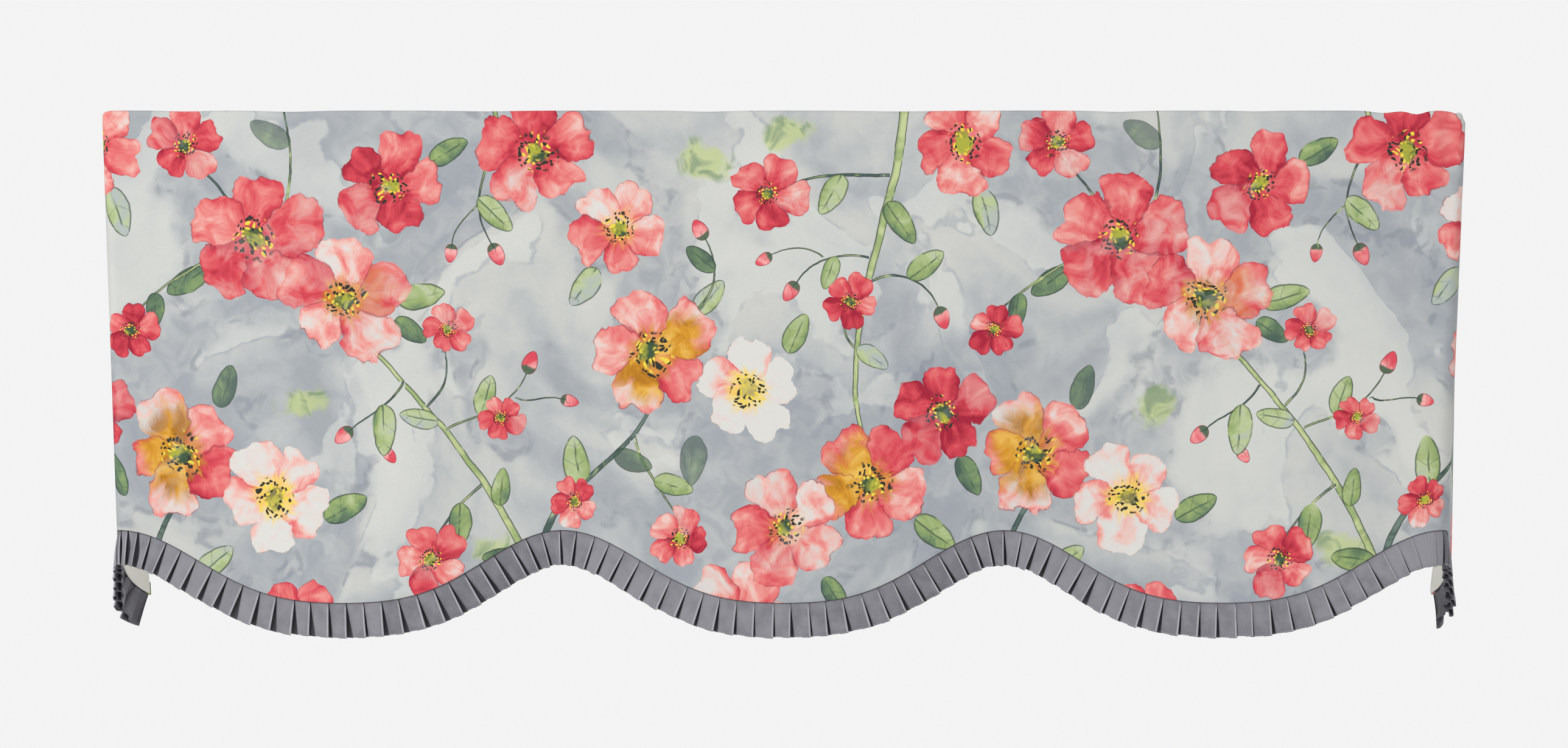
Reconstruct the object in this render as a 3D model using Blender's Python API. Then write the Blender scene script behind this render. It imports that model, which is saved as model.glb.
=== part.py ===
"""Window valance: a printed panel with a scalloped lower edge, its lining and a knife-pleated trim.

A point of the cloth is named by two lengths: round, how far it lies from the middle of the front, measured
round the top edge (negative to the left), and drop, how far it lies below the top edge. hang() turns them
into a place in the room. +X runs to the right, +Y towards the wall and +Z up, in metres. The origin is the
middle of the top edge, at the back of the cloth, where it meets what it hangs from.
"""

from math import cos, exp, hypot, pi, radians, sin
from typing import NamedTuple

import bmesh
import bpy
import numpy as np

# The finished valance.
FRONT_WIDTH = 1.070
RETURN_LENGTH = 0.100
HALF_ROUND = FRONT_WIDTH / 2 + RETURN_LENGTH
CURL_LENGTH = 0.035  # the stretch of each return, next to the wall, that curls in lower down
TOP_CORNER_RADIUS = 0.006
SCALLOPS = 3
HEM_AT_LOWS = 0.386
SCALLOP_RISE = 0.057
FULLNESS_OF_LOWS = 0.18  # widens the low stretches of the scallops and narrows their peaks
RETURN_HALF_SCALLOP = 0.118

# The cloths, from the outside in.
FACE_CLOTH = 0.0012
LINING_CLOTH = 0.0010
RIBBON_CLOTH = 0.0010
GAP = 0.0006
TOP_DEPTH = 2 * FACE_CLOTH + LINING_CLOTH + 2 * GAP  # the face turns over the lining's top edge
TOP_FOLD = 0.0010
TOP_HEM = 0.028
LINING_DEPTH = FACE_CLOTH + GAP
LINING_SHORT = 0.002

# The knife-pleated trim, measured square to the seam that holds it.
TRIM_WIDTH = 0.027
TRIM_HEADING = 0.008
PLEAT_PITCH = 0.0138
PLEAT_OVERLAP = 0.41  # share of a pleat's width that lies behind its front
PLEAT_RAMP = 0.28  # share in which the front comes out from under the last pleat
PLEAT_SEED = 11
PLEAT_UNEVENNESS = 0.06  # share of the pitch by which the hand-laid pleats differ
CORNER_CROWDING = 0.8  # how much closer the pleats stand where they go round a corner
CROWDING_REACH = 0.020
HEADING_DEPTH = 0.0030
SEAM_DEPTH = FACE_CLOTH + GAP
LAYER_AT_HEADING = 0.00135
LAYER_AT_EDGE = 0.0020
LINING_DEPTH_AT_HEM = 0.0072

# How finely the sheets follow their curves.
COLUMNS_PER_SCALLOP = 16
COLUMNS_PER_CORNER = 9
COLUMNS_PER_CURL = 7
CORNER_REACH = 0.016
PEAK_CROWDING = 0.5  # draws columns of points towards the peaks, where the edge turns most
SEAM_SAMPLES = 1200
SHARP_FOLD = radians(40)


class Side(NamedTuple):
    """How one end of the valance hangs at the level of the hem."""

    half_front: float
    corner_radius: float
    splay: float  # degrees that the return stands out from square
    curl: float  # degrees that its wall edge turns in


class Dip(NamedTuple):
    """A place where the top edge falls away a little."""

    at: float
    drop: float
    reach: float


class Ripple(NamedTuple):
    """A soft wave of the front, full at the hem and gone at the top."""

    height: float
    wavelength: float
    crest: float


class Row(NamedTuple):
    """A level of points: a share of the way to the hem, a length more, and the depth behind the face."""

    share: float
    drop: float
    depth: float


class Fold(NamedTuple):
    """A point of a pleat's section: its place, in shares of the pleat's width, and its layer."""

    share: float
    layer: int  # 0 is the front one


LEFT = Side(half_front=0.522, corner_radius=0.012, splay=9, curl=75)
RIGHT = Side(half_front=0.520, corner_radius=0.018, splay=9, curl=45)

DIPS = (
    Dip(at=-0.541, drop=0.002, reach=0.008),
    Dip(at=0.544, drop=0.009, reach=0.014),
)

RIPPLE_FADE = 0.080
RIPPLES = (
    Ripple(height=0.0028, wavelength=0.410, crest=0.060),
    Ripple(height=0.0014, wavelength=0.255, crest=-0.320),
)

FACE_ROWS = (
    Row(share=1.00, drop=0.0, depth=0.0),
    Row(share=1.00, drop=-0.050, depth=0.0),
    Row(share=0.55, drop=0.0, depth=0.0),
    Row(share=0.30, drop=0.0, depth=0.0),
    Row(share=0.00, drop=TOP_FOLD, depth=0.0),
    Row(share=0.00, drop=0.0, depth=TOP_FOLD),
    Row(share=0.00, drop=0.0, depth=TOP_DEPTH - TOP_FOLD),
    Row(share=0.00, drop=TOP_FOLD, depth=TOP_DEPTH),
    Row(share=0.00, drop=TOP_HEM, depth=TOP_DEPTH),
)

LINING_ROWS = (
    Row(share=1.00, drop=-0.0005, depth=LINING_DEPTH_AT_HEM),
    Row(share=1.00, drop=-TRIM_HEADING - 0.003, depth=LINING_DEPTH_AT_HEM),
    Row(share=1.00, drop=-0.050, depth=LINING_DEPTH),
    Row(share=0.55, drop=0.0, depth=LINING_DEPTH),
    Row(share=0.30, drop=0.0, depth=LINING_DEPTH),
    Row(share=0.00, drop=0.004, depth=LINING_DEPTH),
)

PLEAT_FOLDS = (
    Fold(share=0.0, layer=2),
    Fold(share=PLEAT_RAMP, layer=0),
    Fold(share=1.0, layer=0),
    Fold(share=1.0, layer=1),
    Fold(share=1.0 - PLEAT_OVERLAP, layer=1),
    Fold(share=1.0 - PLEAT_OVERLAP, layer=2),
)


def mix(start, end, share):
    return start + (end - start) * share


def hem_drop(at):
    """The drop of the face's lower edge at this length round."""
    half_scallop = FRONT_WIDTH / SCALLOPS / 2
    past_corner = abs(at) - FRONT_WIDTH / 2
    if past_corner > 0:
        fall = (1 - cos(pi * past_corner / RETURN_HALF_SCALLOP)) / 2
    else:
        turn = pi * past_corner / half_scallop
        fall = (1 - cos(turn)) / 2 + FULLNESS_OF_LOWS * (1 - cos(2 * turn)) / 2
    return HEM_AT_LOWS - SCALLOP_RISE * (1 - fall)


def top_drop(at):
    """How far the top edge lies below its middle at this length round."""
    return sum(dip.drop * exp(-(((at - dip.at) / dip.reach) ** 2)) for dip in DIPS)


def bent(heading, length, turn):
    """The step along a stretch that turns evenly, seen from above."""
    if abs(turn) < 1e-6:
        return length * cos(heading), length * sin(heading)
    radius = length / turn
    return radius * (sin(heading + turn) - sin(heading)), radius * (cos(heading) - cos(heading + turn))


def ripple(at, sag):
    """How far the front stands forward here. The waves die away next to the corners."""
    fade = min(1.0, max(0.0, (FRONT_WIDTH / 2 - abs(at)) / RIPPLE_FADE))
    waves = sum(wave.height * cos(2 * pi * (at - wave.crest) / wave.wavelength) for wave in RIPPLES)
    return waves * sag * fade


def hang(at, drop, depth=0.0):
    """The place of the cloth's point at this length round and drop, this deep behind the face."""
    side, mirror = (LEFT, -1) if at < 0 else (RIGHT, 1)
    sag = drop / HEM_AT_LOWS
    radius = mix(TOP_CORNER_RADIUS, side.corner_radius, sag)
    corner_turn = radians(90 - side.splay * sag)
    corner = radius * corner_turn
    front = mix(FRONT_WIDTH / 2, side.half_front, sag) - radius
    rest = RETURN_LENGTH - corner / 2 - CURL_LENGTH

    # Lower down, the front is a little narrower than its top edge, and the return keeps its length.
    to_corner = front + corner / 2
    past_corner = abs(at) - FRONT_WIDTH / 2
    along = to_corner + past_corner * (1 if past_corner > 0 else to_corner / (FRONT_WIDTH / 2))
    x, y, heading = 0.0, 0.0, 0.0
    stretches = ((front, 0.0), (corner, corner_turn), (rest, 0.0), (CURL_LENGTH, radians(side.curl) * sag))
    for length, turn in stretches:
        share = min(1.0, max(0.0, along / length))
        step_x, step_y = bent(heading, length * share, turn * share)
        x, y, heading = x + step_x, y + step_y, heading + turn * share
        along -= length

    inward = depth - ripple(at, sag)
    x -= inward * sin(heading)
    y += inward * cos(heading)
    return mirror * x, y - TOP_DEPTH, -drop


def columns():
    """The lengths round at which both the face and the lining have points, out to the lining's ends."""
    half_front = FRONT_WIDTH / 2
    steps = np.linspace(-SCALLOPS / 2, SCALLOPS / 2, SCALLOPS * COLUMNS_PER_SCALLOP + 1)
    crowded = (steps + PEAK_CROWDING * np.sin(2 * pi * steps) / (2 * pi)) * FRONT_WIDTH / SCALLOPS
    front = [at for at in crowded if abs(at) < half_front - 1.2 * CORNER_REACH]
    shares = np.linspace(-1, 1, COLUMNS_PER_CORNER + 1)
    corner = half_front + CORNER_REACH * np.sign(shares) * np.abs(shares) ** 1.5
    curl = np.linspace(HALF_ROUND - CURL_LENGTH, HALF_ROUND - LINING_SHORT, COLUMNS_PER_CURL + 1)
    round_the_end = [*corner, (corner[-1] + curl[0]) / 2, *curl]
    return [-at for at in reversed(round_the_end)] + front + round_the_end


def seam():
    """The seam under the face's lower edge: its lengths round, and how far along the seam each one lies."""
    around = np.linspace(LINING_SHORT - HALF_ROUND, HALF_ROUND - LINING_SHORT, SEAM_SAMPLES)
    points = np.array([hang(at, hem_drop(at)) for at in around])
    steps = np.linalg.norm(np.diff(points, axis=0), axis=1)
    return around, np.concatenate([[0.0], np.cumsum(steps)])


def below_seam(at, distance):
    """The length round and drop of the point this far from the seam, square to it."""
    step = 0.0005
    slope = (hem_drop(at + step) - hem_drop(at - step)) / (2 * step)
    square = hypot(1.0, slope)
    return at - distance * slope / square, hem_drop(at) + distance / square


def fabric(name, colour, roughness):
    material = bpy.data.materials.new(name)
    material.use_nodes = True
    shader = material.node_tree.nodes["Principled BSDF"]
    shader.inputs["Base Color"].default_value = (*colour, 1.0)
    shader.inputs["Roughness"].default_value = roughness
    shader.inputs["Metallic"].default_value = 0.0
    return material


def cloth(name, across, rows, place, thickness, offset):
    """A sheet with a column of points for each of across and a level for each of rows, made thick."""
    bm = bmesh.new()
    bmesh.ops.create_grid(bm, x_segments=len(across) - 1, y_segments=len(rows) - 1, size=1)
    for index, vert in enumerate(bm.verts):
        level, column = divmod(index, len(across))
        vert.co = place(across[column], rows[level])
    # Both sides of every sheet are split along the same diagonals, so twisted sheets stay evenly apart.
    bmesh.ops.triangulate(bm, faces=bm.faces[:], quad_method="FIXED")
    mesh = bpy.data.meshes.new(name)
    bm.to_mesh(mesh)
    bm.free()
    mesh.shade_smooth()
    mesh.set_sharp_from_angle(angle=SHARP_FOLD)

    sheet = bpy.data.objects.new(name, mesh)
    bpy.context.scene.collection.objects.link(sheet)
    solidify = sheet.modifiers.new("Thickness", "SOLIDIFY")
    solidify.thickness = thickness
    solidify.offset = offset
    solidify.use_even_offset = True
    solidify.use_quality_normals = True
    return sheet


def hang_in_row(at, row):
    return hang(at, mix(top_drop(at), hem_drop(at), row.share) + row.drop, row.depth)


def face_panel():
    """The printed cloth: front and both returns, with its top edge turned over to the back."""
    across = [-HALF_ROUND, *columns(), HALF_ROUND]
    panel = cloth("face_panel", across, FACE_ROWS, hang_in_row, thickness=FACE_CLOTH, offset=-1)
    panel.data.materials.append(fabric("printed_cotton", colour=(0.50, 0.54, 0.55), roughness=0.85))


def lining():
    """The plain cloth behind the face. It stands back at the hem, to leave room for the trim's heading."""
    sheet = cloth("lining", columns(), LINING_ROWS, hang_in_row, thickness=LINING_CLOTH, offset=-1)
    sheet.data.materials.append(fabric("lining_cotton", colour=(0.80, 0.76, 0.66), roughness=0.90))


def pleat_edges(around, along):
    """The places along the seam where one pleat ends and the next comes out from under it."""
    past_corner = np.abs(around) - FRONT_WIDTH / 2
    closeness = 1 + CORNER_CROWDING * np.exp(-((past_corner / CROWDING_REACH) ** 2))
    laid = np.concatenate([[0.0], np.cumsum(np.diff(along) * closeness[1:])])
    pleats = round(laid[-1] / PLEAT_PITCH)
    print(f"{pleats} pleats along {along[-1]:.3f} m of seam")
    places = np.linspace(0.0, laid[-1], pleats + 1)
    shifts = np.random.default_rng(PLEAT_SEED).uniform(-1, 1, pleats - 1)
    places[1:-1] += shifts * PLEAT_UNEVENNESS * PLEAT_PITCH
    return np.interp(places, laid, along)


def pleat_section(edges):
    """The ribbon's folds from end to end, each a place along the seam and a layer."""
    folds = [
        (mix(start, end, fold.share), fold.layer)
        for start, end in zip(edges, edges[1:])
        for fold in PLEAT_FOLDS
    ]
    # The first pleat has nothing to come out from under, and the last has nothing to lie over.
    return [(edges[0], 0), *folds[1:-3]]


def pleated_trim():
    """One ribbon laid in knife pleats, with its heading caught between the face and the lining."""
    around, along = seam()

    def place(fold, distance):
        along_seam, layer = fold
        at, drop = below_seam(np.interp(along_seam, along, around), distance)
        front = mix(HEADING_DEPTH, SEAM_DEPTH, (distance + TRIM_HEADING) / TRIM_HEADING)
        down = (distance + TRIM_HEADING) / (TRIM_HEADING + TRIM_WIDTH)
        return hang(at, drop, front + RIBBON_CLOTH / 2 + layer * mix(LAYER_AT_HEADING, LAYER_AT_EDGE, down))

    levels = (TRIM_WIDTH, -TRIM_HEADING)
    folds = pleat_section(pleat_edges(around, along))
    ribbon = cloth("pleated_trim", folds, levels, place, thickness=RIBBON_CLOTH, offset=0)
    ribbon.data.materials.append(fabric("grey_ribbon", colour=(0.24, 0.22, 0.25), roughness=0.70))


def main():
    for thing in list(bpy.data.objects):
        bpy.data.objects.remove(thing, do_unlink=True)
    face_panel()
    lining()
    pleated_trim()


main()
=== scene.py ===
# %% [markdown]
# # A window valance with a scalloped, knife-pleated edge
#
# A valance is the shallow piece of cloth that hides the head of a window. This one has three cloths: a printed
# face, a plain lining behind it, and a grey ribbon laid in knife pleats along the scalloped lower edge. It goes
# round the corners of its mounting board with two short returns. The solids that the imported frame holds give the
# sizes. The thin cloths that are seen are modelled here, on the same folds.

from collections import namedtuple
from math import atan2, ceil, cos, degrees, exp, hypot, pi, radians, sin

import bmesh
import bpy
import numpy as np
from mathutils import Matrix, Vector


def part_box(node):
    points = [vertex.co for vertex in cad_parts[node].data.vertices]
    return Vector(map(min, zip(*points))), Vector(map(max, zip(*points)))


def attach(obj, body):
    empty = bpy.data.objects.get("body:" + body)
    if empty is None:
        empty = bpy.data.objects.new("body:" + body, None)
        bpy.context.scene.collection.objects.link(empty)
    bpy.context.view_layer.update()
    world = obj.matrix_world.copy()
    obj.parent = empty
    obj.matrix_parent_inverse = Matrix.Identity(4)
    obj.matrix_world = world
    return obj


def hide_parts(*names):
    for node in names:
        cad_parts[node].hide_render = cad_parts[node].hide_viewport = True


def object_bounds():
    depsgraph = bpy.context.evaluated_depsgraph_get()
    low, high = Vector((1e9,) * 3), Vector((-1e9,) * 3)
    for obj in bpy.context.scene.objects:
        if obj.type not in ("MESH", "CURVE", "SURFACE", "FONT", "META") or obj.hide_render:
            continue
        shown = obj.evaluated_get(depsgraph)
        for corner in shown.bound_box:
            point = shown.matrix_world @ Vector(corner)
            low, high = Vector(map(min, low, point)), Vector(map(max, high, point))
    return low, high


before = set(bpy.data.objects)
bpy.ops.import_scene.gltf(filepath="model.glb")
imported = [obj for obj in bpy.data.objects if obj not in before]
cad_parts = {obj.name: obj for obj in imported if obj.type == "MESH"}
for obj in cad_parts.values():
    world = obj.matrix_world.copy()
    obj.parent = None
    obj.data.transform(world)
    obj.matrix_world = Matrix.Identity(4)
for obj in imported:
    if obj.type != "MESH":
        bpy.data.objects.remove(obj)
cad_low, cad_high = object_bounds()

panel_low, panel_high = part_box("face_panel")
trim_low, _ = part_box("pleated_trim")

FRONT_WIDTH = round(panel_high.x - panel_low.x, 3)
HALF_FRONT = FRONT_WIDTH / 2
RETURN_LENGTH = 0.100
HALF_ROUND = HALF_FRONT + RETURN_LENGTH
HEM_AT_LOWS = round(-panel_low.z, 3)
SCALLOPS = 3
TRIM_WIDTH = round(panel_low.z - trim_low.z, 3)
print(f"front {FRONT_WIDTH} m wide, {HEM_AT_LOWS} m deep at the lows, trim {TRIM_WIDTH} m wide")

# %% [markdown]
# ## How the cloth hangs
#
# Cloth doesn't stretch, so every point of it is named by two lengths measured on the cloth itself: how far round
# from the middle of the front it lies, and how far it drops from the top edge. One function, `hang`, turns those
# two lengths into a place in the room: straight along the front, round a soft corner, along the return, and round
# its wall edge, which curls in lower down because nothing holds it there. All three cloths use the same function,
# so they lie against each other without any fitting.

# %% Sizes of the hanging
TOP_CORNER_RADIUS = 0.006
SCALLOP_RISE = 0.057
FULLNESS_OF_LOWS = 0.18
RETURN_HALF_SCALLOP = 0.118
TOP_DEPTH = 0.0046

# How one end of the valance hangs at the level of the hem. Splay and curl are in degrees.
Side = namedtuple("Side", "half_front corner_radius splay curl curl_length")
LEFT = Side(half_front=0.522, corner_radius=0.012, splay=7, curl=74, curl_length=0.046)
RIGHT = Side(half_front=0.520, corner_radius=0.018, splay=11, curl=52, curl_length=0.040)

# A soft wave of the front, full at the hem and gone at the top.
Ripple = namedtuple("Ripple", "height wavelength crest")
RIPPLES = (Ripple(0.0028, 0.410, 0.060), Ripple(0.0014, 0.255, -0.320))
RIPPLE_FADE = 0.080

# A place where the top edge falls away a little.
Dip = namedtuple("Dip", "at drop reach")
DIPS = (
    Dip(-0.541, 0.002, 0.008),
    Dip(0.544, 0.009, 0.014),
    Dip(-0.470, 0.0007, 0.018),
    Dip(-0.388, 0.0010, 0.024),
    Dip(-0.236, 0.0006, 0.030),
    Dip(-0.060, 0.0009, 0.022),
    Dip(0.091, 0.0007, 0.034),
    Dip(0.262, 0.0010, 0.020),
    Dip(0.371, 0.0006, 0.016),
    Dip(0.471, 0.0019, 0.011),
    Dip(0.497, 0.0030, 0.008),
)

# A soft upright ridge of the face, strongest at one drop.
Crease = namedtuple("Crease", "at drop forward width length lean")
CREASES = (
    Crease(0.512, 0.020, 0.0022, 0.007, 0.060, 0.10),
    Crease(0.492, 0.010, 0.0014, 0.006, 0.045, 0.06),
    Crease(0.471, 0.012, 0.0010, 0.008, 0.050, -0.04),
    Crease(-0.470, 0.010, 0.0012, 0.012, 0.050, -0.08),
    Crease(-0.388, 0.008, 0.0012, 0.016, 0.060, 0.05),
    Crease(-0.060, 0.010, 0.0011, 0.015, 0.055, 0.03),
    Crease(0.262, 0.010, 0.0012, 0.014, 0.060, -0.05),
    Crease(-0.300, 0.240, 0.0016, 0.030, 0.140, 0.20),
    Crease(0.180, 0.200, 0.0014, 0.034, 0.150, -0.16),
    Crease(0.430, 0.260, 0.0018, 0.026, 0.130, 0.14),
)


# %% The laws of the hanging
def mix(start, end, share):
    return start + (end - start) * share


def limited(share):
    return min(1.0, max(0.0, share))


def bell(away, reach):
    """1 in the middle, falling softly to almost nothing two reaches away."""
    return exp(-((away / reach) ** 2))


def hem_drop(at):
    """The drop of the face's lower edge at this length round."""
    past_corner = abs(at) - HALF_FRONT
    if past_corner > 0:
        fall = (1 - cos(pi * past_corner / RETURN_HALF_SCALLOP)) / 2
    else:
        turn = pi * past_corner / (FRONT_WIDTH / SCALLOPS / 2)
        fall = (1 - cos(turn)) / 2 + FULLNESS_OF_LOWS * (1 - cos(2 * turn)) / 2
    return HEM_AT_LOWS - SCALLOP_RISE * (1 - fall)


def top_drop(at):
    """How far the top edge lies below its highest line at this length round."""
    return sum(dip.drop * bell(at - dip.at, dip.reach) for dip in DIPS)


def bent(heading, length, turn):
    """The step along a stretch that turns evenly, seen from above."""
    if abs(turn) < 1e-6:
        return length * cos(heading), length * sin(heading)
    radius = length / turn
    return radius * (sin(heading + turn) - sin(heading)), radius * (cos(heading) - cos(heading + turn))


def forward_of_flat(at, drop):
    """How far the cloth stands forward here. Ripples die away next to the corners."""
    fade = limited((HALF_FRONT - abs(at)) / RIPPLE_FADE)
    waves = sum(wave.height * cos(2 * pi * (at - wave.crest) / wave.wavelength) for wave in RIPPLES)
    ridges = sum(
        crease.forward
        * bell(at - crease.at - crease.lean * (drop - crease.drop), crease.width)
        * bell(drop - crease.drop, crease.length)
        for crease in CREASES
        if abs(at - crease.at) < 5 * crease.width
    )
    return waves * drop / HEM_AT_LOWS * fade + ridges


def hang(at, drop, depth=0.0):
    """The place of the cloth's point at this length round and drop, this deep behind the face."""
    side, mirror = (LEFT, -1) if at < 0 else (RIGHT, 1)
    sag = drop / HEM_AT_LOWS
    radius = mix(TOP_CORNER_RADIUS, side.corner_radius, sag)
    corner_turn = radians(90 - side.splay * sag)
    corner = radius * corner_turn
    front = mix(HALF_FRONT, side.half_front, sag) - radius
    rest = RETURN_LENGTH - corner / 2 - side.curl_length

    to_corner = front + corner / 2
    past_corner = abs(at) - HALF_FRONT
    along = to_corner + past_corner * (1 if past_corner > 0 else to_corner / HALF_FRONT)
    x, y, heading = 0.0, 0.0, 0.0
    stretches = ((front, 0.0), (corner, corner_turn), (rest, 0.0), (side.curl_length, radians(side.curl) * sag))
    for length, turn in stretches:
        share = limited(along / length)
        step_x, step_y = bent(heading, length * share, turn * share)
        x, y, heading = x + step_x, y + step_y, heading + turn * share
        along -= length

    inward = depth - forward_of_flat(at, drop)
    return Vector((mirror * (x - inward * sin(heading)), y + inward * cos(heading) - TOP_DEPTH, -drop))


corner_low = hang(HALF_FRONT, hem_drop(HALF_FRONT))
print("lower corner of the front:", [round(number, 4) for number in corner_low])

# %% [markdown]
# ## A sheet from a grid
#
# Blender's own grid has its points in rows, so a sheet is a grid whose points are carried to their places one
# by one, with a column for each length round and a row for each drop. The same loop writes a UV map in metres of
# flat cloth, which the weave and the print will read: they then bend with every fold, as a real print does. A
# Solidify modifier gives the sheet its thickness.


# %% The helper that makes each cloth
def in_scene(name, data):
    thing = bpy.data.objects.new(name, data)
    bpy.context.scene.collection.objects.link(thing)
    return thing


def cloth_sheet(name, columns, rows, place, lay_flat, thickness, inward=-1, other_side=0):
    """A sheet with a column of points for each of columns and a row for each of rows."""
    bm = bmesh.new()
    bmesh.ops.create_grid(bm, x_segments=len(columns) - 1, y_segments=len(rows) - 1, size=1)
    flat_map = bm.loops.layers.uv.new("flat_cloth")
    flat = []
    for index, vert in enumerate(bm.verts):
        row, column = divmod(index, len(columns))
        vert.co = place(columns[column], rows[row])
        flat.append(lay_flat(columns[column], rows[row]))
    for face in bm.faces:
        face.smooth = True
        for loop in face.loops:
            loop[flat_map].uv = flat[loop.vert.index]
    mesh = bpy.data.meshes.new(name)
    bm.to_mesh(mesh)
    bm.free()

    sheet = in_scene(name, mesh)
    solidify = sheet.modifiers.new("Thickness of the cloth", "SOLIDIFY")
    solidify.thickness = thickness
    solidify.offset = inward
    solidify.use_quality_normals = True
    solidify.material_offset = other_side
    print(f"{name}: {len(mesh.polygons)} faces on one side")
    return sheet


# A row of points: its share of the way to the hem, a drop more, its depth, and the length of cloth to it.
Row = namedtuple("Row", "share drop depth cloth")
# A column of points: its length round, its depth, and the length of cloth to it.
Column = namedtuple("Column", "at depth cloth")


def evenly(start, end, step):
    """Points from start to end about one step apart, both ends among them."""
    return [float(point) for point in np.linspace(start, end, ceil(abs(end - start) / step) + 1)]


def main_drop(column, row):
    return mix(top_drop(column.at), hem_drop(column.at), row.share)


def place_in_cloth(column, row):
    return hang(column.at, main_drop(column, row) + row.drop, column.depth + row.depth)


def place_on_flat(column, row):
    return column.cloth, main_drop(column, row) + row.cloth


# %% [markdown]
# ## The printed face
#
# The face is one piece of cotton. Its lower and side edges are turned in where it is sewn to the lining, so they
# end in a small round roll and not in a cut edge. Its top edge is turned right over to the back, in a hem that
# takes the fastening. Each turned edge is a few extra rows or columns on the grid, which go round a half circle
# and a little way back.

# %% Make the printed face
CLOTH_STEP = 0.004
CORNER_STEP = 0.0013
CORNER_REACH = 0.018
CURL_REACH = 0.040
FACE_CLOTH = 0.0005
EDGE_ROLL = 0.0006  # radius of a turned edge, which takes two layers of the cloth
HEM_TURNED_IN = 0.009
SIDE_TURNED_IN = 0.004
TOP_HEM = 0.028


def half_circle(radius, steps):
    """(how far past the start, how deep, how much cloth) for points round a fold."""
    turns = np.linspace(0, pi, steps + 1)
    return [(radius * sin(turn), radius * (1 - cos(turn)), radius * turn) for turn in turns]


def lengths_round(end, step):
    """Lengths round from one end to the other, closer together at the corners and in the curls."""
    right = evenly(0, HALF_FRONT - CORNER_REACH, step)
    right += evenly(HALF_FRONT - CORNER_REACH, HALF_FRONT + CORNER_REACH, CORNER_STEP)[1:]
    right += evenly(HALF_FRONT + CORNER_REACH, HALF_ROUND - CURL_REACH, step)[1:]
    right += evenly(HALF_ROUND - CURL_REACH, end, step / 2)[1:]
    return [-at for at in right[:0:-1]] + right


def rolled_columns(step):
    """Columns of the face: out to the roll of each side edge, round it, and a little way back."""
    flat_end = HALF_ROUND - EDGE_ROLL
    middle = [Column(at, 0.0, at) for at in lengths_round(flat_end, step)]
    fold = half_circle(EDGE_ROLL, steps=6)[1:]
    roll = [Column(flat_end + past, depth, flat_end + cloth) for past, depth, cloth in fold]
    back = roll[-1]
    roll.append(Column(back.at - SIDE_TURNED_IN, back.depth, back.cloth + SIDE_TURNED_IN))
    mirrored = [Column(-column.at, column.depth, -column.cloth) for column in reversed(roll)]
    return mirrored + middle + roll


def face_rows():
    """Rows of the face, from the turned-in hem up to the front of the top edge, over it, and down the back."""
    fold = half_circle(EDGE_ROLL, steps=6)
    hem = [Row(1, past - EDGE_ROLL, depth, cloth - EDGE_ROLL) for past, depth, cloth in fold]
    inner = hem[-1]
    rows = [Row(1, inner.drop - HEM_TURNED_IN, inner.depth, inner.cloth + HEM_TURNED_IN), *reversed(hem)]
    shares = evenly(1.0, 0.0, CLOTH_STEP / HEM_AT_LOWS)
    rows += [Row(share, 0.0, 0.0, 0.0) for share in shares[1:-1]]
    radius = TOP_DEPTH / 2
    over = half_circle(radius, steps=8)
    rows += [Row(0, radius - past, depth, radius - cloth) for past, depth, cloth in over]
    last = rows[-1]
    down = evenly(0, TOP_HEM - radius, CLOTH_STEP)[1:]
    rows += [Row(0, radius + drop, TOP_DEPTH, last.cloth - drop) for drop in down]
    last = rows[-1]
    fold = half_circle(EDGE_ROLL, steps=5)[1:]
    rows += [Row(0, last.drop + past, TOP_DEPTH - depth, last.cloth - cloth) for past, depth, cloth in fold]
    return rows


face = cloth_sheet("face_cloth", rolled_columns(CLOTH_STEP), face_rows(), place_in_cloth, place_on_flat, FACE_CLOTH)

# %% [markdown]
# ## The lining
#
# The lining is the same shape a little smaller, so that it never shows round the edges from the front. It lies
# close behind the face and stands back at the hem, where the pleats of the ribbon are sewn in between the two.
# Its top edge goes up under the turned hem of the face.

# %% Make the lining
LINING_CLOTH = 0.0004
LINING_STEP = 0.006
LINING_DEPTH = 0.0019
LINING_DEPTH_AT_HEM = 0.0046
LINING_ROLL = 0.0005
LINING_SHORT = 0.0015  # how much sooner than the face it ends at each side
LINING_ABOVE_HEM = 0.0012
LINING_TURNED_IN = 0.008
LINING_TOP = 0.006
HEM_LAYERS_START, HEM_LAYERS_END = 0.003, 0.034
TOP_SHARE = 0.03


def lining_rows():
    fold = half_circle(LINING_ROLL, steps=4)
    roll = [Row(1, past - LINING_ABOVE_HEM, LINING_DEPTH_AT_HEM - depth, cloth) for past, depth, cloth in fold]
    inner = Row(1, -LINING_TURNED_IN, LINING_DEPTH_AT_HEM - 2 * LINING_ROLL, LINING_TURNED_IN)
    rows = [inner, *reversed(roll)]
    for up in evenly(HEM_LAYERS_START, HEM_LAYERS_END, LINING_STEP):
        ease = (1 - cos(pi * up / HEM_LAYERS_END)) / 2
        rows.append(Row(1, -up, mix(LINING_DEPTH_AT_HEM, LINING_DEPTH, ease), -up))
    start = 1 - (HEM_LAYERS_END + LINING_STEP) / (HEM_AT_LOWS - SCALLOP_RISE)
    rows += [Row(share, 0.0, LINING_DEPTH, 0.0) for share in evenly(start, TOP_SHARE, LINING_STEP / HEM_AT_LOWS)]
    rows.append(Row(0, LINING_TOP, LINING_DEPTH, LINING_TOP))
    return rows


lining_columns = [Column(at, 0.0, at) for at in lengths_round(HALF_ROUND - LINING_SHORT, LINING_STEP)]
lining = cloth_sheet("lining_cloth", lining_columns, lining_rows(), place_in_cloth, place_on_flat, LINING_CLOTH)

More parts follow.
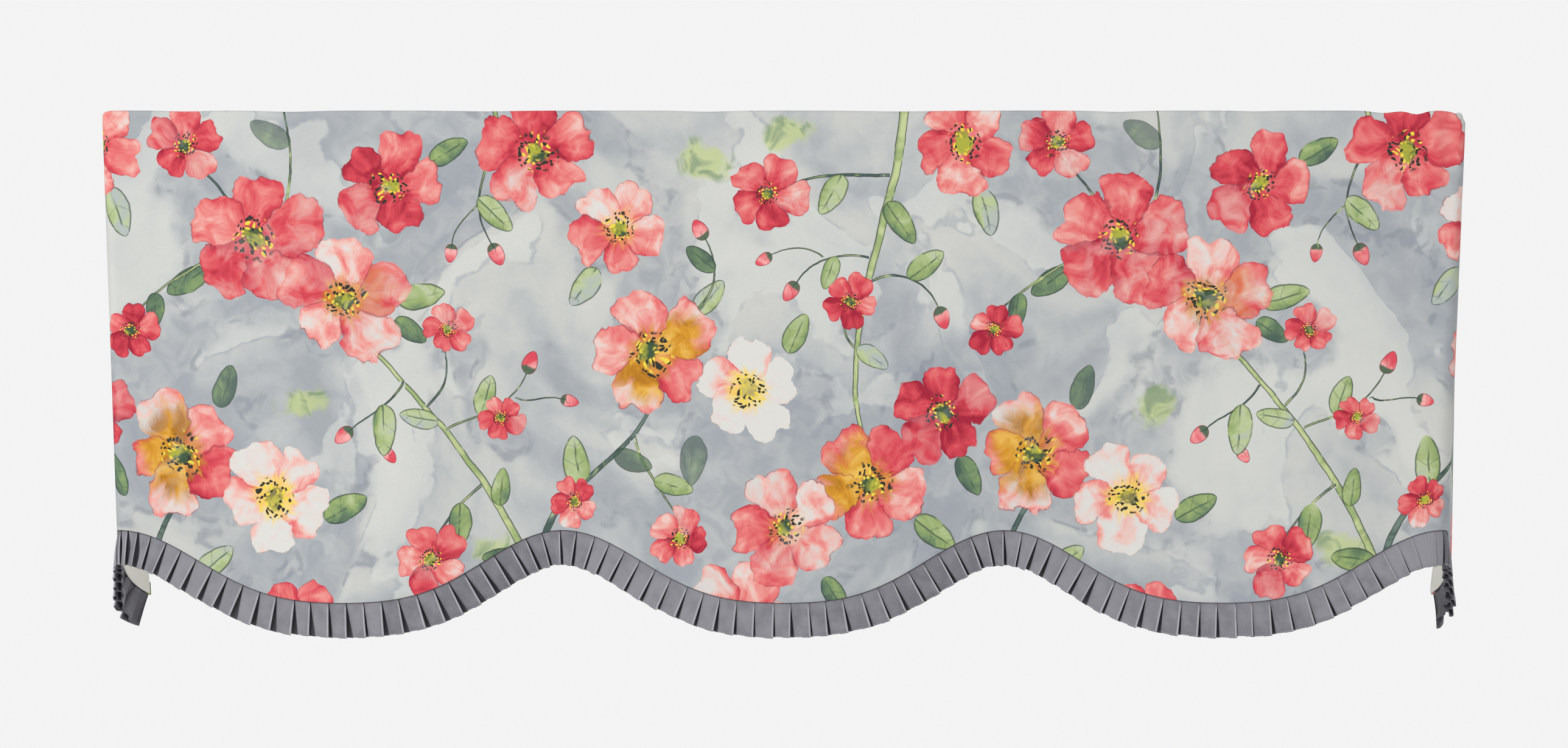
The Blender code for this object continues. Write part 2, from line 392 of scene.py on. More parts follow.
# %% [markdown]
# ## The knife-pleated ribbon
#
# A knife pleat is a flat fold laid to one side: the ribbon comes forward, runs flat to the right, turns back
# under itself, and turns again to go on. Each pleat is pressed flat at the seam and springs open towards its
# free edge. Here the section of one pleat is a short table of points with round folds, repeated along the seam,
# and every row down the ribbon opens it a little more. No two pleats laid by hand are the same, so their widths,
# leans and lengths come from a seeded list of random numbers, and a second table says how wide they stand open
# along the front: wide at the left corner, and pressed flat at the right one.

# %% Sizes of the pleats
RIBBON = 0.00035
PLEAT_PITCH = 0.0138
PLEAT_SEED = 11
PLEAT_UNEVENNESS = 0.06
CORNER_CROWDING = 0.8
CROWDING_REACH = 0.020
SEAM_SAMPLES = 1600
SEAM_SHORT = 0.002  # how much sooner than the face the ribbon ends at each side

# A row of the ribbon: its distance below the seam, the front's depth, the step between layers, and the gap.
Level = namedtuple("Level", "distance depth layer gap")
LEVELS = (
    Level(-0.0080, 0.0016, 0.00055, 0.05),
    Level(-0.0030, 0.0016, 0.00060, 0.05),
    Level(0.0000, 0.0015, 0.00070, 0.06),
    Level(0.0018, 0.0011, 0.00090, 0.08),
    Level(0.0045, 0.0004, 0.00120, 0.11),
    Level(0.0085, -0.0004, 0.00150, 0.16),
    Level(0.0135, -0.0011, 0.00175, 0.22),
    Level(0.0190, -0.0017, 0.00195, 0.28),
    Level(0.0235, -0.0021, 0.00205, 0.33),
    Level(0.0270, -0.0024, 0.00210, 0.36),
)

# How wide the pleats stand open, as (length round, share of the widest).
OPEN_ALONG = (
    (-0.460, 0.90),
    (-0.380, 0.88),
    (-0.300, 0.72),
    (-0.240, 0.90),
    (-0.178, 0.76),
    (-0.110, 0.62),
    (0.000, 0.41),
    (0.110, 0.50),
    (0.180, 0.76),
    (0.240, 0.66),
    (0.300, 0.62),
    (0.370, 0.42),
    (0.470, 0.33),
    (0.520, 0.12),
)

# A point of a pleat's section: where it is, in gaps and in pleat widths, its layer, and its light and shade.
Fold = namedtuple("Fold", "gaps share layer light shade", defaults=(0.0, 0.0))
PLEAT_SECTION = (
    Fold(0.00, 0.000, 2.00, shade=1.0),
    Fold(0.45, 0.000, 1.98, shade=1.0),
    Fold(0.80, 0.000, 1.80, shade=1.0),
    Fold(0.97, 0.000, 1.20, shade=1.0),
    Fold(1.02, 0.000, 0.55, shade=0.7),
    Fold(1.02, 0.010, 0.14, shade=0.2),
    Fold(0.95, 0.035, -0.01, shade=0.42),
    Fold(0.84, 0.120, -0.04, shade=0.26),
    Fold(0.50, 0.420, -0.08),
    Fold(0.16, 0.780, -0.07),
    Fold(0.04, 0.885, -0.05),
    Fold(0.00, 0.935, -0.03, light=0.7),
    Fold(0.00, 0.985, 0.05, light=1.0),
    Fold(0.00, 1.006, 0.28, light=0.5),
    Fold(0.00, 1.004, 0.65, shade=0.7),
    Fold(0.00, 0.985, 0.92, shade=1.0),
    Fold(0.00, 0.930, 1.00, shade=1.0),
    Fold(0.00, 0.640, 1.02, shade=1.0),
    Fold(0.00, 0.600, 1.15, shade=1.0),
    Fold(0.00, 0.590, 1.50, shade=1.0),
    Fold(0.00, 0.600, 1.85, shade=1.0),
    Fold(0.00, 0.640, 2.00, shade=1.0),
    Fold(0.00, 0.820, 2.02, shade=1.0),
)
LAYER_IN_WIDTHS = 0.12  # the step between layers in pleat widths, for the length of ribbon in a pleat
START_LEFT_OFF, END_LEFT_OFF = 3, 7  # points of the section that the first and last pleats go without


# %% Lay the pleats along the seam
def seam():
    """The seam under the hem: its lengths round, and how far along the seam each one lies."""
    around = np.linspace(SEAM_SHORT - HALF_ROUND, HALF_ROUND - SEAM_SHORT, SEAM_SAMPLES)
    points = np.array([hang(at, hem_drop(at)) for at in around])
    steps = np.linalg.norm(np.diff(points, axis=0), axis=1)
    return around, np.concatenate([[0.0], np.cumsum(steps)])


def pleat_edges(around, along):
    """The places along the seam where one pleat ends and the next comes out from under it."""
    past_corner = np.abs(around) - HALF_FRONT
    closeness = 1 + CORNER_CROWDING * np.exp(-((past_corner / CROWDING_REACH) ** 2))
    laid = np.concatenate([[0.0], np.cumsum(np.diff(along) * closeness[1:])])
    pleats = round(laid[-1] / PLEAT_PITCH)
    places = np.linspace(0.0, laid[-1], pleats + 1)
    shifts = np.random.default_rng(PLEAT_SEED).uniform(-1, 1, pleats - 1)
    places[1:-1] += shifts * PLEAT_UNEVENNESS * PLEAT_PITCH
    return np.interp(places, laid, along)


def hem_slope(at, step=0.0005):
    return (hem_drop(at + step) - hem_drop(at - step)) / (2 * step)


def below_seam(at, distance):
    """The length round and drop of the point this far from the seam, square to it."""
    slope = hem_slope(at)
    square = hypot(1.0, slope)
    return at - distance * slope / square, hem_drop(at) + distance / square


seam_around, seam_along = seam()
edges = pleat_edges(seam_around, seam_along)
middles = np.interp((edges[:-1] + edges[1:]) / 2, seam_along, seam_around)
print(f"{len(middles)} pleats along {seam_along[-1]:.3f} m of seam")

# %% How the pleats differ from each other
Hand = namedtuple("Hand", "lean longer lift open")
HAND_LEAN, HAND_LONGER, HAND_LIFT = 0.00045, 0.00030, 0.00035
hand_of = np.random.default_rng(PLEAT_SEED + 1)
hands = [
    Hand(
        lean=hand_of.normal(0, HAND_LEAN),
        longer=hand_of.normal(0, HAND_LONGER),
        lift=hand_of.normal(0, HAND_LIFT),
        open=hand_of.uniform(0.80, 1.20),
    )
    for _ in middles
]
hands[-1] = Hand(lean=0.0, longer=0.0022, lift=-0.0068, open=1.5)  # the loose end at the right return
hands[-2] = Hand(lean=-0.0012, longer=0.0004, lift=-0.0016, open=1.5)

LEFT_CORNER_OPENS = 1.6
RIGHT_RETURN_OPENS = 0.65


def opening_of(middle):
    """How far a pleat opens beside the others: widest round the left corner, and closed at the right one."""
    if middle < -HALF_FRONT + CROWDING_REACH:
        return LEFT_CORNER_OPENS
    if middle > HALF_FRONT:
        return RIGHT_RETURN_OPENS
    return float(np.interp(middle, *zip(*OPEN_ALONG)))


openings = [0.0, *(opening_of(middle) for middle in middles[1:])]

# %% Make the ribbon
SAWTOOTH = 0.0006  # how much lower a pleat's right corner hangs than its left one
UNDERLAYER = 0.0004  # how much lower the layers behind hang than the front one
WIDEST_GAP = 0.55  # share of a pleat's width
RETURNS_PUFF = 1.5  # how much thicker the pleats stand along the returns, where they hang loose
SHINGLE = 0.0020  # how far a pleat's fold stands out past the next one there

# A column of the ribbon: its pleat, its fold in the section, and how much ribbon lies before it.
PleatPoint = namedtuple("PleatPoint", "pleat fold ribbon")


def ribbon_columns():
    section = np.array([(fold.share, fold.layer * LAYER_IN_WIDTHS) for fold in PLEAT_SECTION])
    following = np.vstack([section[1:], section[:1] + (1.0, 0.0)])
    steps = np.linalg.norm(following - section, axis=1)
    columns, ribbon = [], 0.0
    for pleat, width in enumerate(np.diff(edges)):
        for fold, step in zip(PLEAT_SECTION, steps):
            columns.append(PleatPoint(pleat, fold, ribbon))
            ribbon += width * float(step)
    return columns[START_LEFT_OFF:-END_LEFT_OFF]


def place_in_ribbon(point, level):
    pleat, fold, _ = point
    hand, start, end = hands[pleat], edges[pleat], edges[pleat + 1]
    down = max(0.0, level.distance) / TRIM_WIDTH
    gap = level.gap * PLEAT_PITCH / (end - start) * openings[pleat]
    gap = min(WIDEST_GAP, gap * mix(1.0, hand.open, down))
    share = fold.gaps * gap + fold.share
    along = mix(start, end, share) + hand.lean * down
    lower = (share - 0.5) * SAWTOOTH + UNDERLAYER * limited(fold.layer) + hand.longer
    at = float(np.interp(along, seam_along, seam_around))
    at, drop = below_seam(at, level.distance + lower * down)
    past_corner = limited((abs(at) - HALF_FRONT) / CROWDING_REACH)
    puff = mix(1.0, RETURNS_PUFF, past_corner * down)
    forward = hand.lift + SHINGLE * share * past_corner
    return hang(at, drop, level.depth - forward * down + fold.layer * level.layer * puff)


ribbon_points = ribbon_columns()
trim = cloth_sheet(
    "pleated_ribbon",
    ribbon_points,
    LEVELS[::-1],
    place_in_ribbon,
    lambda point, level: (point.ribbon, level.distance),
    RIBBON,
    inward=0,
    other_side=1,
)

# %% [markdown]
# ## Painted light and shade stored on the ribbon
#
# Pressed folds get a painted highlight and the gaps between pleats get painted shade. Whole pleats are also painted
# lighter where the seam falls to the right than where it rises, and towards the right corner, as painted light.
# Lamps alone show too little of this on such thin cloth. So each point of the ribbon stores three numbers for the
# finish to paint: its painted highlight, its painted shade, and its pleat's painted light with a little random
# tone.

# %% Store the light and shade of the folds on the ribbon
# Painted light on the pleats: its level, how much it grows with the slope of the seam, and a random spread.
LEVEL_PAINTED_LIGHT = 0.54
PAINTED_LIGHT_BY_SLOPE = 0.42
TONE_CHANCE = 0.10
PAINTED_LIGHTER_FROM, PAINTED_LIGHTER_BY = 0.38, 0.62  # towards the right corner the pleats are painted lighter, as painted light where they lie flatter
LEAST_LIGHT = 0.45  # share of its light that the fold of a closed pleat keeps


def painted_light_of(middle):
    """How light a pleat's face is painted, from 0 to 1: painted light by the seam's slope and the right corner, 0
    on the returns.
    """
    if abs(middle) > HALF_FRONT:
        return 0.0
    lighter = limited((middle - PAINTED_LIGHTER_FROM) / (HALF_FRONT - PAINTED_LIGHTER_FROM))
    return LEVEL_PAINTED_LIGHT + PAINTED_LIGHT_BY_SLOPE * hem_slope(middle) + PAINTED_LIGHTER_BY * lighter


def store(mesh, name, domain, numbers):
    """Three numbers for each point or corner of the mesh."""
    layer = mesh.attributes.new(name, "FLOAT_VECTOR", domain)
    layer.data.foreach_set("vector", np.asarray(numbers, dtype=np.float32).ravel())


tone_chance = np.random.default_rng(PLEAT_SEED + 2)
# Each pleat's painted light, with a little random tone.
painted_pleat_lights = [painted_light_of(middle) + tone_chance.uniform(-TONE_CHANCE, TONE_CHANCE) for middle in middles]
lights = [min(1.0, opening + LEAST_LIGHT) for opening in openings]
# Each point's painted highlight, painted shade, and its pleat's painted light.
fold_light = [(fold.light * lights[pleat], fold.shade, painted_pleat_lights[pleat]) for pleat, fold, _ in ribbon_points]
store(trim.data, "fold", "POINT", np.tile(fold_light, (len(LEVELS), 1)))

# %% [markdown]
# ## Colours, and arithmetic that makes nodes
#
# The finishes are painted by shader nodes. A node tree of sums is hard to read as code, so a small class stands
# for "a number, place or colour that changes over the cloth": adding or multiplying it adds the Math node that
# does so. Colours are given as on a paint card, from 0 to 255, and turned into the linear values that Blender
# works in.


# %% Helpers for painting with nodes
def pigment(red, green, blue):
    """A colour from 0-255 screen values, as the linear colour that a shader takes."""
    shares = [channel / 255 for channel in (red, green, blue)]
    return (*[((share + 0.055) / 1.055) ** 2.4 if share > 0.04045 else share / 12.92 for share in shares], 1.0)


def arithmetic(operation, turned_round=False):
    """What a sign does between two tones, or a number and a tone: it adds the Math node for it."""
    return lambda *values: worked(operation, *(values[::-1] if turned_round else values))


class Tone:
    """A number, place or colour that changes over the cloth."""

    def __init__(self, socket):
        self.socket, self.tree = socket, socket.id_data

    __add__ = __radd__ = arithmetic("ADD")
    __sub__, __rsub__ = arithmetic("SUBTRACT"), arithmetic("SUBTRACT", turned_round=True)
    __mul__ = __rmul__ = arithmetic("MULTIPLY")
    __truediv__, __gt__, __abs__ = arithmetic("DIVIDE"), arithmetic("GREATER_THAN"), arithmetic("ABSOLUTE")


def join(value, socket):
    """Link a tone to a socket, or set the socket to a number, or to a colour of three card values."""
    if isinstance(value, Tone):
        value.tree.links.new(value.socket, socket)
    elif isinstance(value, tuple) and len(value) == 3:
        socket.default_value = pigment(*value)
    else:
        socket.default_value = value


def fill(node, sockets):
    for name, value in sockets.items():
        join(value, node.inputs[name])
    return node


def node_in(tree, kind, sockets=None, **settings):
    """A new node of this kind, with its own settings and what goes into its sockets."""
    node = tree.nodes.new("ShaderNode" + kind)
    for name, value in settings.items():
        setattr(node, name, value)
    return fill(node, sockets or {})


def worked(operation, *values):
    tree = next(value for value in values if isinstance(value, Tone)).tree
    return Tone(node_in(tree, "Math", dict(enumerate(values)), operation=operation).outputs[0])


larger, root = arithmetic("MAXIMUM"), arithmetic("SQRT")


def soft(value, start, end):
    """0 before start and 1 past end, with a soft step between; start may be the larger."""
    sockets = {"Value": value, "From Min": start, "From Max": end}
    return Tone(node_in(value.tree, "MapRange", sockets, interpolation_type="SMOOTHSTEP").outputs["Result"])


def band(value, low, high, blur):
    return soft(value, low - blur, low) * soft(value, high + blur, high)


def painted(below, above, cover):
    """One colour laid over another, as thickly as cover says."""
    return Tone(node_in(cover.tree, "Mix", {0: cover, 6: below, 7: above}, data_type="RGBA").outputs[2])


def coated(colour, *coats):
    """Coats of paint over a colour, each with how thickly it covers."""
    for above, cover in coats:
        colour = painted(colour, above, cover)
    return colour


def graded(value, *stops):
    """Colour by value, from pairs of (value, colour)."""
    node = node_in(value.tree, "ValToRGB", {0: value})
    elements = node.color_ramp.elements
    while len(elements) < len(stops):
        elements.new(0.5)
    for element, (position, _) in zip(elements, stops):
        element.position = position
    for element, (_, colour) in zip(elements, stops):
        element.color = pigment(*colour)
    return Tone(node.outputs[0])


def parts(tone):
    """The three numbers of a place or colour."""
    return [Tone(output) for output in node_in(tone.tree, "SeparateXYZ", {0: tone}).outputs]


def together(first, second):
    return Tone(node_in(first.tree, "CombineXYZ", {0: first, 1: second}).outputs[0])


def clouds(place, scale, detail=2.0, roughness=0.5, distortion=0.0):
    """Three unlike cloudy numbers, each about 0 to 1, from one Noise texture in the plane."""
    sockets = {"Vector": place, "Scale": scale, "Detail": detail, "Roughness": roughness, "Distortion": distortion}
    return parts(Tone(node_in(place.tree, "TexNoise", sockets, noise_dimensions="2D").outputs["Color"]))


def stored(tree, name):
    """The three numbers that the mesh stores under this name."""
    return parts(Tone(node_in(tree, "Attribute", attribute_name=name).outputs["Vector"]))


def material_of(name, sockets):
    """A new material, and its Principled shader with this in its sockets."""
    material = bpy.data.materials.new(name)
    material.use_nodes = True
    return material, fill(material.node_tree.nodes["Principled BSDF"], sockets)


def cloth_material(name, roughness, sheen):
    sockets = {"Roughness": roughness, "Specular IOR Level": 0.25, "Sheen Weight": sheen, "Sheen Roughness": 0.5}
    material, shader = material_of(name, sockets)
    flat_cloth = node_in(material.node_tree, "UVMap", uv_map="flat_cloth")
    return material, shader, Tone(flat_cloth.outputs[0])


def bumped(shader, height, distance, strength):
    sockets = {"Distance": distance, "Strength": strength, "Height": height}
    join(Tone(node_in(height.tree, "Bump", sockets).outputs[0]), shader.inputs["Normal"])


def plain_weave(flat, threads):
    """The ups and downs of a plain weave with this many threads a metre."""
    across, down, _ = parts(flat)
    return worked("SINE", across * (pi * threads)) * worked("SINE", down * (pi * threads))


# %% [markdown]
# ## The print: where its flowers stand
#
# The design is a plain one of wild roses: five-petalled blossoms in clusters on branching stems, with leaves and
# buds, on a cloudy grey-blue ground. A screen-printed cloth repeats, and here the repeat is 686 mm, half the
# width of a furnishing cloth. Each stem, leaf and blossom is one line of a table, in millimetres to the right and
# down from the repeat's upper left corner.
#
# To paint a blossom, a shader has to know where in the blossom it is. So each small face of the mesh takes the
# blossom that lies nearest to it, and its corners store their place measured from that blossom's own middle, in
# its own radius. One set of nodes then paints every blossom. Blossoms that overlap are in two layers.


# %% The tables of the print, in millimetres
REPEAT = 686
REPEAT_STARTS = -1000 * HALF_FRONT

# A blossom: its tone is 0 for white, 0.5 for coral and 0.9 for deep red; golden ones have a golden petal.
Bloom = namedtuple("Bloom", "right down radius tone golden", defaults=(False,))
BLOOMS_BEHIND = (
    Bloom(115, 100, 52, 0.53),
    Bloom(224, 58, 43, 0.70),
    Bloom(430, 190, 52, 0.50, golden=True),
    Bloom(604, 292, 50, 0.60, golden=True),
    Bloom(52, 268, 49, 0.46, golden=True),
    Bloom(340, 32, 48, 0.58),
    Bloom(676, 26, 41, 0.51),
    Bloom(522, 66, 30, 0.65),
    Bloom(250, 352, 30, 0.59),
    Bloom(16, 172, 23, 0.66),
    Bloom(366, 306, 22, 0.55),
    Bloom(268, 172, 21, 0.63),
    Bloom(500, 398, 46, 0.43),
    Bloom(146, 400, 37, 0.56),
)
BLOOMS_IN_FRONT = (
    Bloom(186, 148, 50, 0.40, golden=True),
    Bloom(506, 220, 45, 0.05),
    Bloom(536, 326, 45, 0.37),
    Bloom(662, 236, 41, 0.84),
    Bloom(126, 302, 46, 0.07),
    Bloom(404, 92, 40, 0.34),
    Bloom(64, 26, 30, 0.62),
    Bloom(450, 336, 25, 0.61),
    Bloom(588, 150, 24, 0.69),
    Bloom(308, 240, 20, 0.64),
)

# A stem on a curve of four points, from its thick end to its thin end, with leaves at shares of it.
Stem = namedtuple("Stem", "curve thick thin dark leaves bud", defaults=((), 0))
STEMS = (
    Stem(((352, 460), (352, 360), (288, 268), (200, 180)), 4.6, 2, 0.0, (0.36, 0.52, 0.76)),
    Stem(((336, 352), (352, 282), (400, 290), (430, 230)), 3.2, 1.7, 0.8, (0.42, 0.70)),
    Stem(((630, -30), (634, 80), (572, 150), (600, 270)), 4.4, 2, 0.1, (0.34, 0.56, 0.74)),
    Stem(((621, 50), (594, 52), (560, 44), (530, 66)), 1.8, 1.1, 0.7, (0.45,)),
    Stem(((42, 460), (0, 390), (28, 330), (54, 300)), 4, 2, 0.9, (0.46,)),
    Stem(((290, -30), (318, -10), (300, 30), (335, 40)), 2.8, 1.6, 0.2),
    Stem(((295, 292), (280, 302), (262, 322), (252, 340)), 1.6, 1, 0.5, (0.40,)),
    Stem(((250, 232), (266, 218), (268, 205), (265, 192)), 1.4, 0.9, 0.6),
    Stem(((415, 253), (420, 280), (440, 300), (450, 322)), 1.6, 1, 0.3, (0.50,)),
    Stem(((593, 188), (580, 176), (582, 164), (587, 158)), 1.3, 0.9, 0.4),
    Stem(((22, 366), (60, 358), (100, 370), (132, 394)), 1.8, 1.1, 0.5, (0.35, 0.66)),
    Stem(((80, 116), (52, 132), (32, 144), (18, 160)), 1.5, 1, 0.2, (0.62,)),
    Stem(((96, 70), (86, 56), (76, 46), (66, 36)), 1.4, 1, 0.7),
    Stem(((263, 250), (292, 236), (318, 236), (330, 204)), 1.3, 0.8, 0.3, (0.34,), bud=19),
    Stem(((322, 226), (334, 230), (346, 222), (358, 226)), 1, 0.7, 0.6, bud=15),
    Stem(((606, 116), (580, 110), (556, 116), (544, 136)), 1.3, 0.8, 0.5, (0.40,), bud=18),
    Stem(((566, 115), (552, 106), (538, 106), (524, 114)), 1, 0.7, 0.3, bud=15),
    Stem(((231, 213), (222, 234), (204, 236), (188, 250)), 1.3, 0.8, 0.8, (0.40,), bud=18),
    Stem(((212, 235), (208, 246), (208, 256), (216, 266)), 1, 0.7, 0.4, bud=14),
    Stem(((302, 40), (292, 66), (290, 80), (304, 106)), 1.4, 0.8, 0.7, (0.42,), bud=19),
    Stem(((293, 74), (282, 84), (274, 92), (272, 106)), 1, 0.7, 0.3, bud=15),
    Stem(((602, 135), (628, 122), (650, 134), (658, 156)), 1.4, 0.8, 0.6, (0.44,), bud=19),
    Stem(((466, 156), (484, 138), (482, 116), (472, 100)), 1.4, 0.8, 0.4, (0.52,), bud=18),
    Stem(((140, 80), (150, 50), (146, 20), (140, -10)), 1.5, 0.9, 0.5, (0.58,)),
)

# A leaf, bud or smudge: where it starts, which way it points in degrees, its size, and its kind. The kind is 0 to 1
# for a leaf, from pale to dark, then the same with 1 added for a bud and 2 for a smudge.
Leaf = namedtuple("Leaf", "right down points length half_width kind")
LEAVES = (
    Leaf(228, 150, -12, 40, 11, 0.35),
    Leaf(226, 164, 34, 30, 8.5, 0.80),
    Leaf(76, 126, 150, 36, 10, 0.72),
    Leaf(464, 160, -50, 36, 10, 0.08),
    Leaf(464, 254, 96, 40, 12, 0.90),
    Leaf(642, 318, 40, 40, 11.5, 0.45),
    Leaf(568, 366, 60, 34, 9.5, 0.65),
    Leaf(166, 320, -28, 38, 11, 0.55),
    Leaf(388, 124, 128, 36, 10.5, 0.05),
    Leaf(84, 234, -74, 36, 10, 0.85),
    Leaf(538, 190, -66, 34, 10, 0.40),
    Leaf(256, 40, -30, 34, 10, 0.60),
    Leaf(690, 60, 76, 40, 11, 0.06),
    Leaf(676, 270, 62, 36, 10, 0.78),
    Leaf(446, 34, 12, 56, 18, 2.30),
    Leaf(562, 12, 166, 48, 17, 2.60),
    Leaf(330, 350, 196, 54, 17, 2.40),
    Leaf(168, 222, 160, 46, 16, 2.70),
)
LEAF_SEED = 5
LEAF_SLENDER, BUD_SLENDER = 0.28, 0.36  # half width by length
NOWHERE = (9.0, 0.0, 0.0)  # what a face stores that lies far from every motif


# %% Store each motif's own measure on the mesh
def curve_points(curve, count=25):
    """Points along a cubic curve of four points."""
    share = np.linspace(0, 1, count)[:, None]
    weights = ((1 - share) ** 3, 3 * share * (1 - share) ** 2, 3 * share**2 * (1 - share), share**3)
    return sum(weight * np.array(point) for weight, point in zip(weights, curve))


def heading_of(step):
    return degrees(atan2(step[1], step[0]))


def leaves_of(stem, chance_of):
    """Leaves at the stem's shares, on one side and the other in turn, and its bud."""
    points = curve_points(stem.curve, 101)
    for number, share in enumerate(stem.leaves):
        start, ahead = points[round(share * 100)], points[round(share * 100) + 4]
        side = 1 if number % 2 else -1
        length = chance_of.uniform(26, 40)
        heading = heading_of(ahead - start) + side * chance_of.uniform(38, 62)
        yield Leaf(*start, heading, length, length * LEAF_SLENDER, chance_of.uniform(0.05, 0.95))
    if stem.bud:
        heading = heading_of(points[-1] - points[-8])
        start = points[-1] - 0.12 * stem.bud * np.array((cos(radians(heading)), sin(radians(heading))))
        yield Leaf(*start, heading, stem.bud, stem.bud * BUD_SLENDER, 1 + chance_of.uniform(0.2, 0.8))


def repeated(motifs):
    """The motifs with their copies to the left and the right, as (motif, shift)."""
    return [(motif, REPEAT_STARTS + turn * REPEAT) for motif in motifs for turn in (-1, 0, 1)]


def motif_box(motif):
    """The corners of a box that holds all of a motif."""
    if isinstance(motif, Stem):
        points = curve_points(motif.curve)
        return np.stack([points.min(axis=0) - 15, points.max(axis=0) + 15])
    reach = motif.radius * 1.5 if isinstance(motif, Bloom) else motif.length * 1.4
    return np.array([(motif.right - reach, motif.down - reach), (motif.right + reach, motif.down + reach)])


def turned(x, y, turn):
    return x * cos(turn) + y * sin(turn), y * cos(turn) - x * sin(turn)


def in_bloom(bloom, shift, places):
    """Places measured from a blossom's middle in its radius, and turned, so that no two stand alike."""
    x = (places[:, 0] - shift - bloom.right) / bloom.radius
    y = (places[:, 1] - bloom.down) / bloom.radius
    return np.stack([*turned(x, y, bloom.tone * 97), np.full_like(x, bloom.tone + bloom.golden)], axis=1)


def in_leaf(leaf, shift, places):
    """Places measured along a leaf in its length, and across it in its half width."""
    x, y = places[:, 0] - shift - leaf.right, places[:, 1] - leaf.down
    along, across = turned(x, y, radians(leaf.points))
    return np.stack([along / leaf.length, across / leaf.half_width, np.full_like(x, leaf.kind)], axis=1)


def in_stem(stem, shift, places):
    """The distance across a stem and its half width there, in metres, and how dark it is."""
    points = curve_points(stem.curve) + (shift, 0)
    steps = np.diff(points, axis=0)
    offsets = places[:, None] - points[:-1]
    shares = np.clip((offsets * steps).sum(axis=2) / (steps**2).sum(axis=1), 0, 1)
    away = np.linalg.norm(offsets - shares[..., None] * steps, axis=2)
    side = np.where(offsets[..., 1] * steps[:, 0] < offsets[..., 0] * steps[:, 1], -1.0, 1.0)
    best = np.arange(len(places)), away.argmin(axis=1)
    half = mix(stem.thick, stem.thin, (best[1] + shares[best]) / len(steps))
    return np.stack([(side * away)[best] / 1000, half / 1000, np.full(len(places), stem.dark)], axis=1)


# %% Give each face of the mesh its motifs
MEASURE = {Stem: in_stem, Leaf: in_leaf, Bloom: in_bloom}
HALF_A_FACE = 3.0
STEM_RUNS, BLOOM_RUNS, LEAF_RUNS, SMUDGE_RUNS = 0.0022, 1.28, 1.35, 1.75  # how far out paint may run


def outside(motif, at):
    """Roughly how far past a motif's outline its paint may run to reach these places, less than 0 where it does."""
    if isinstance(motif, Stem):
        return (np.abs(at[:, 0]) - at[:, 1] - STEM_RUNS) * 1000
    if isinstance(motif, Bloom):
        return (np.hypot(at[:, 0], at[:, 1]) - BLOOM_RUNS) * motif.radius
    runs = SMUDGE_RUNS if motif.kind >= 2 else LEAF_RUNS
    return (np.hypot((at[:, 0] - 0.5) * 2, at[:, 1]) - runs) * motif.half_width


def nearest(flat, motifs):
    """The places of each face's corners in the motif nearest to its middle, and whether any reaches it."""
    middles = flat.mean(axis=1)
    best = np.full(len(middles), HALF_A_FACE)
    places = np.tile(NOWHERE, (len(flat), 4, 1))
    for motif, shift in repeated(motifs):
        measure = MEASURE[type(motif)]
        box = motif_box(motif) + (shift, 0)
        inside = np.flatnonzero(((middles > box[0]) & (middles < box[1])).all(axis=1))
        distance = outside(motif, measure(motif, shift, middles[inside]))
        nearer = distance < best[inside]
        near = inside[nearer]
        best[near] = distance[nearer]
        places[near] = measure(motif, shift, flat[near].reshape(-1, 2)).reshape(-1, 4, 3)
    return places, best < HALF_A_FACE


def wash_round_blooms(flat):
    """A number that is high on the ground round the blossoms, a little to the right of them and below."""
    places = flat.reshape(-1, 2)
    wash = np.zeros(len(places))
    for bloom, shift in repeated(BLOOMS_BEHIND + BLOOMS_IN_FRONT):
        away = np.hypot(places[:, 0] - shift - bloom.right - 10, places[:, 1] - bloom.down - 12)
        wash += np.exp(-((away / (1.7 * bloom.radius)) ** 2))
    return np.repeat(wash[:, None], 3, axis=1)


cloth_places = np.empty(len(face.data.loops) * 2, dtype=np.float32)
face.data.uv_layers["flat_cloth"].uv.foreach_get("vector", cloth_places)
cloth_places = cloth_places.reshape(-1, 4, 2).astype(float) * 1000

leaf_chance = np.random.default_rng(LEAF_SEED)
grown = [leaf for stem in STEMS for leaf in leaves_of(stem, leaf_chance)]
layers = {
    "leaf_behind": [*LEAVES, *(leaf for leaf in grown if leaf.kind >= 1)],
    "stem": STEMS,
    "leaf": [leaf for leaf in grown if leaf.kind < 1],
    "bloom_behind": BLOOMS_BEHIND,
    "bloom": BLOOMS_IN_FRONT,
}
places, reached = {}, {}
for name, motifs in layers.items():
    places[name], reached[name] = nearest(cloth_places, motifs)
    print(f"{name}: {len(motifs)} motifs in the repeat, on {reached[name].mean():.0%} of the faces")

# A blossom alone on its face can be in either layer, so all of those go in the front one.
alone = reached["bloom_behind"] & ~reached["bloom"]
places["bloom"][alone] = places["bloom_behind"][alone]
for name in layers:
    store(face.data, name, "CORNER", places[name])
store(face.data, "wash", "CORNER", wash_round_blooms(cloth_places))

# %% [markdown]
# ## The print: painting it
#
# The look to copy is watercolour. Watercolour has three habits: a wash is uneven inside, its pigment gathers in
# a darker line at its edge, and one wash shows through the next. Each motif below is made that way: a distance
# inside its outline gives its cover and its darker rim, cloudy noise makes it uneven, and the layers are painted
# over one another from the ground up. Two noises shift every outline a little, so that nothing looks stamped:
# hand is the wide one, and blots the fine one.
#
# Painting every layer on every face would be slow, and few faces need them all. So the print is five finishes
# that share these washes, and each face of the mesh takes the one with just the layers that reach it.


